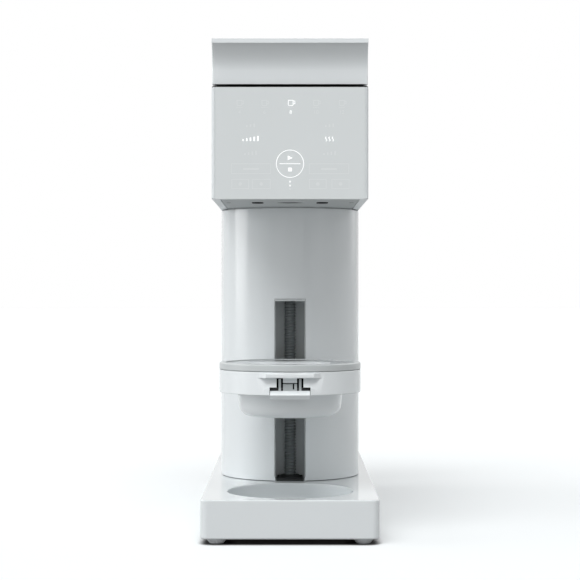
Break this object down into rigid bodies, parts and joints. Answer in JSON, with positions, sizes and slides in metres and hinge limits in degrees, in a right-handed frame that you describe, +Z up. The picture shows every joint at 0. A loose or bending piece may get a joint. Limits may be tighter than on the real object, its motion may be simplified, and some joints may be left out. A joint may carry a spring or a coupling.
{
  "type": "single serve coffee maker",
  "caption": "Narrow single serve pod coffee maker with a motor-driven cup lift, touch panel head, hinged brew lid and rear water tank.",
  "frame": {"origin": "centre of the footprint, on the surface that the feet stand on", "axes": "+Z up, the front with the control panel faces -Y, +X to the right seen from the front"},
  "size_m": [0.112, 0.31, 0.3147],
  "materials": {
    "pale_shell": "satin moulded",
    "control_panel": "smooth satin",
    "dark_channel": "matte moulded",
    "black_plastic": "matte moulded",
    "black_steel": "black oxide",
    "rubber": "matte",
    "steel": "brushed",
    "brass": "turned",
    "circuit_board": "lacquered",
    "hose": "smooth",
    "smoke_tank": "clear tinted"
  },
  "bodies": {
    "root": {"base_shell": "pale_shell", "base_plate": "dark_channel", "rubber_feet": "rubber", "base_screws": "steel", "cord_gland": "black_plastic", "column_shell": "pale_shell", "column_back": "pale_shell", "column_screws": "steel", "slot_liner": "dark_channel", "lower_screw_bearing": "black_plastic", "upper_screw_bearing": "brass", "motor_bracket": "steel", "lift_motor": "steel", "head_shell": "pale_shell", "control_panel": "control_panel", "touch_board": "circuit_board", "spout_plate": "pale_shell", "spout_screws": "steel", "brew_outlet": "dark_channel", "head_deck": "black_plastic", "rear_housing": "pale_shell", "brew_chamber": "dark_channel", "pod_holder": "dark_channel", "lower_needle": "steel", "water_port": "hose", "lid_pin": "steel", "water_pump": "dark_channel", "heater_block": "steel", "main_board": "circuit_board", "inlet_hose": "hose", "pressure_hose": "hose", "brew_hose": "hose", "tank_socket": "black_plastic", "socket_seal": "rubber"},
    "lid": {"lid_shell": "pale_shell", "lid_liner": "black_plastic", "upper_needle": "steel", "pod_seal": "rubber"},
    "carriage": {"lift_carriage": "dark_channel", "lift_nut": "brass"},
    "screw": {"lead_screw": "black_steel", "shaft_coupling": "steel", "motor_shaft": "steel"},
    "tray": {"tray_ring": "pale_shell", "drip_bowl": "pale_shell", "cup_platform": "pale_shell", "latch_pin": "steel"},
    "latch": {"tray_latch": "pale_shell"},
    "grate": {"drip_grate": "steel"},
    "tank": {"water_tank": "smoke_tank", "tank_valve": "dark_channel", "tank_hinge_pin": "steel"},
    "tank_cover": {"tank_lid": "dark_channel"}
  },
  "joints": [
    {"name": "lid_hinge", "type": "hinge", "parent": "root", "child": "lid", "pos_m": [0, -0.02, 0.3087], "axis": [-1, 0, 0], "range_deg": [0, 80]},
    {"name": "lift_slide", "type": "slide", "parent": "root", "child": "carriage", "axis": [0, 0, 1], "range_m": [-0.06, 0.04]},
    {"name": "screw_turn", "type": "hinge", "parent": "root", "child": "screw", "pos_m": [0, -0.04, 0.09], "axis": [0, 0, 1], "range_deg": [-7210, 10810]},
    {"name": "tray_lift", "type": "slide", "parent": "carriage", "child": "tray", "axis": [0, 0, 1], "range_m": [0, 0.025]},
    {"name": "latch_pivot", "type": "hinge", "parent": "tray", "child": "latch", "pos_m": [0, -0.1454, 0.0964], "axis": [1, 0, 0], "range_deg": [0, 15], "stiffness_Nm_per_rad": 0.02, "springref_deg": -5.73},
    {"name": "grate_lift", "type": "slide", "parent": "tray", "child": "grate", "axis": [0, 0, 1], "range_m": [0, 0.025]},
    {"name": "tank_lift", "type": "slide", "parent": "root", "child": "tank", "axis": [0, 0, 1], "range_m": [0, 0.06]},
    {"name": "tank_lid_hinge", "type": "hinge", "parent": "tank", "child": "tank_cover", "pos_m": [0, 0.1515, 0.2993], "axis": [-1, 0, 0], "range_deg": [0, 100]}
  ],
  "couplings": [
    {"joint": "screw_turn", "follows": "lift_slide", "rad_per_m": -3141.6}
  ]
}
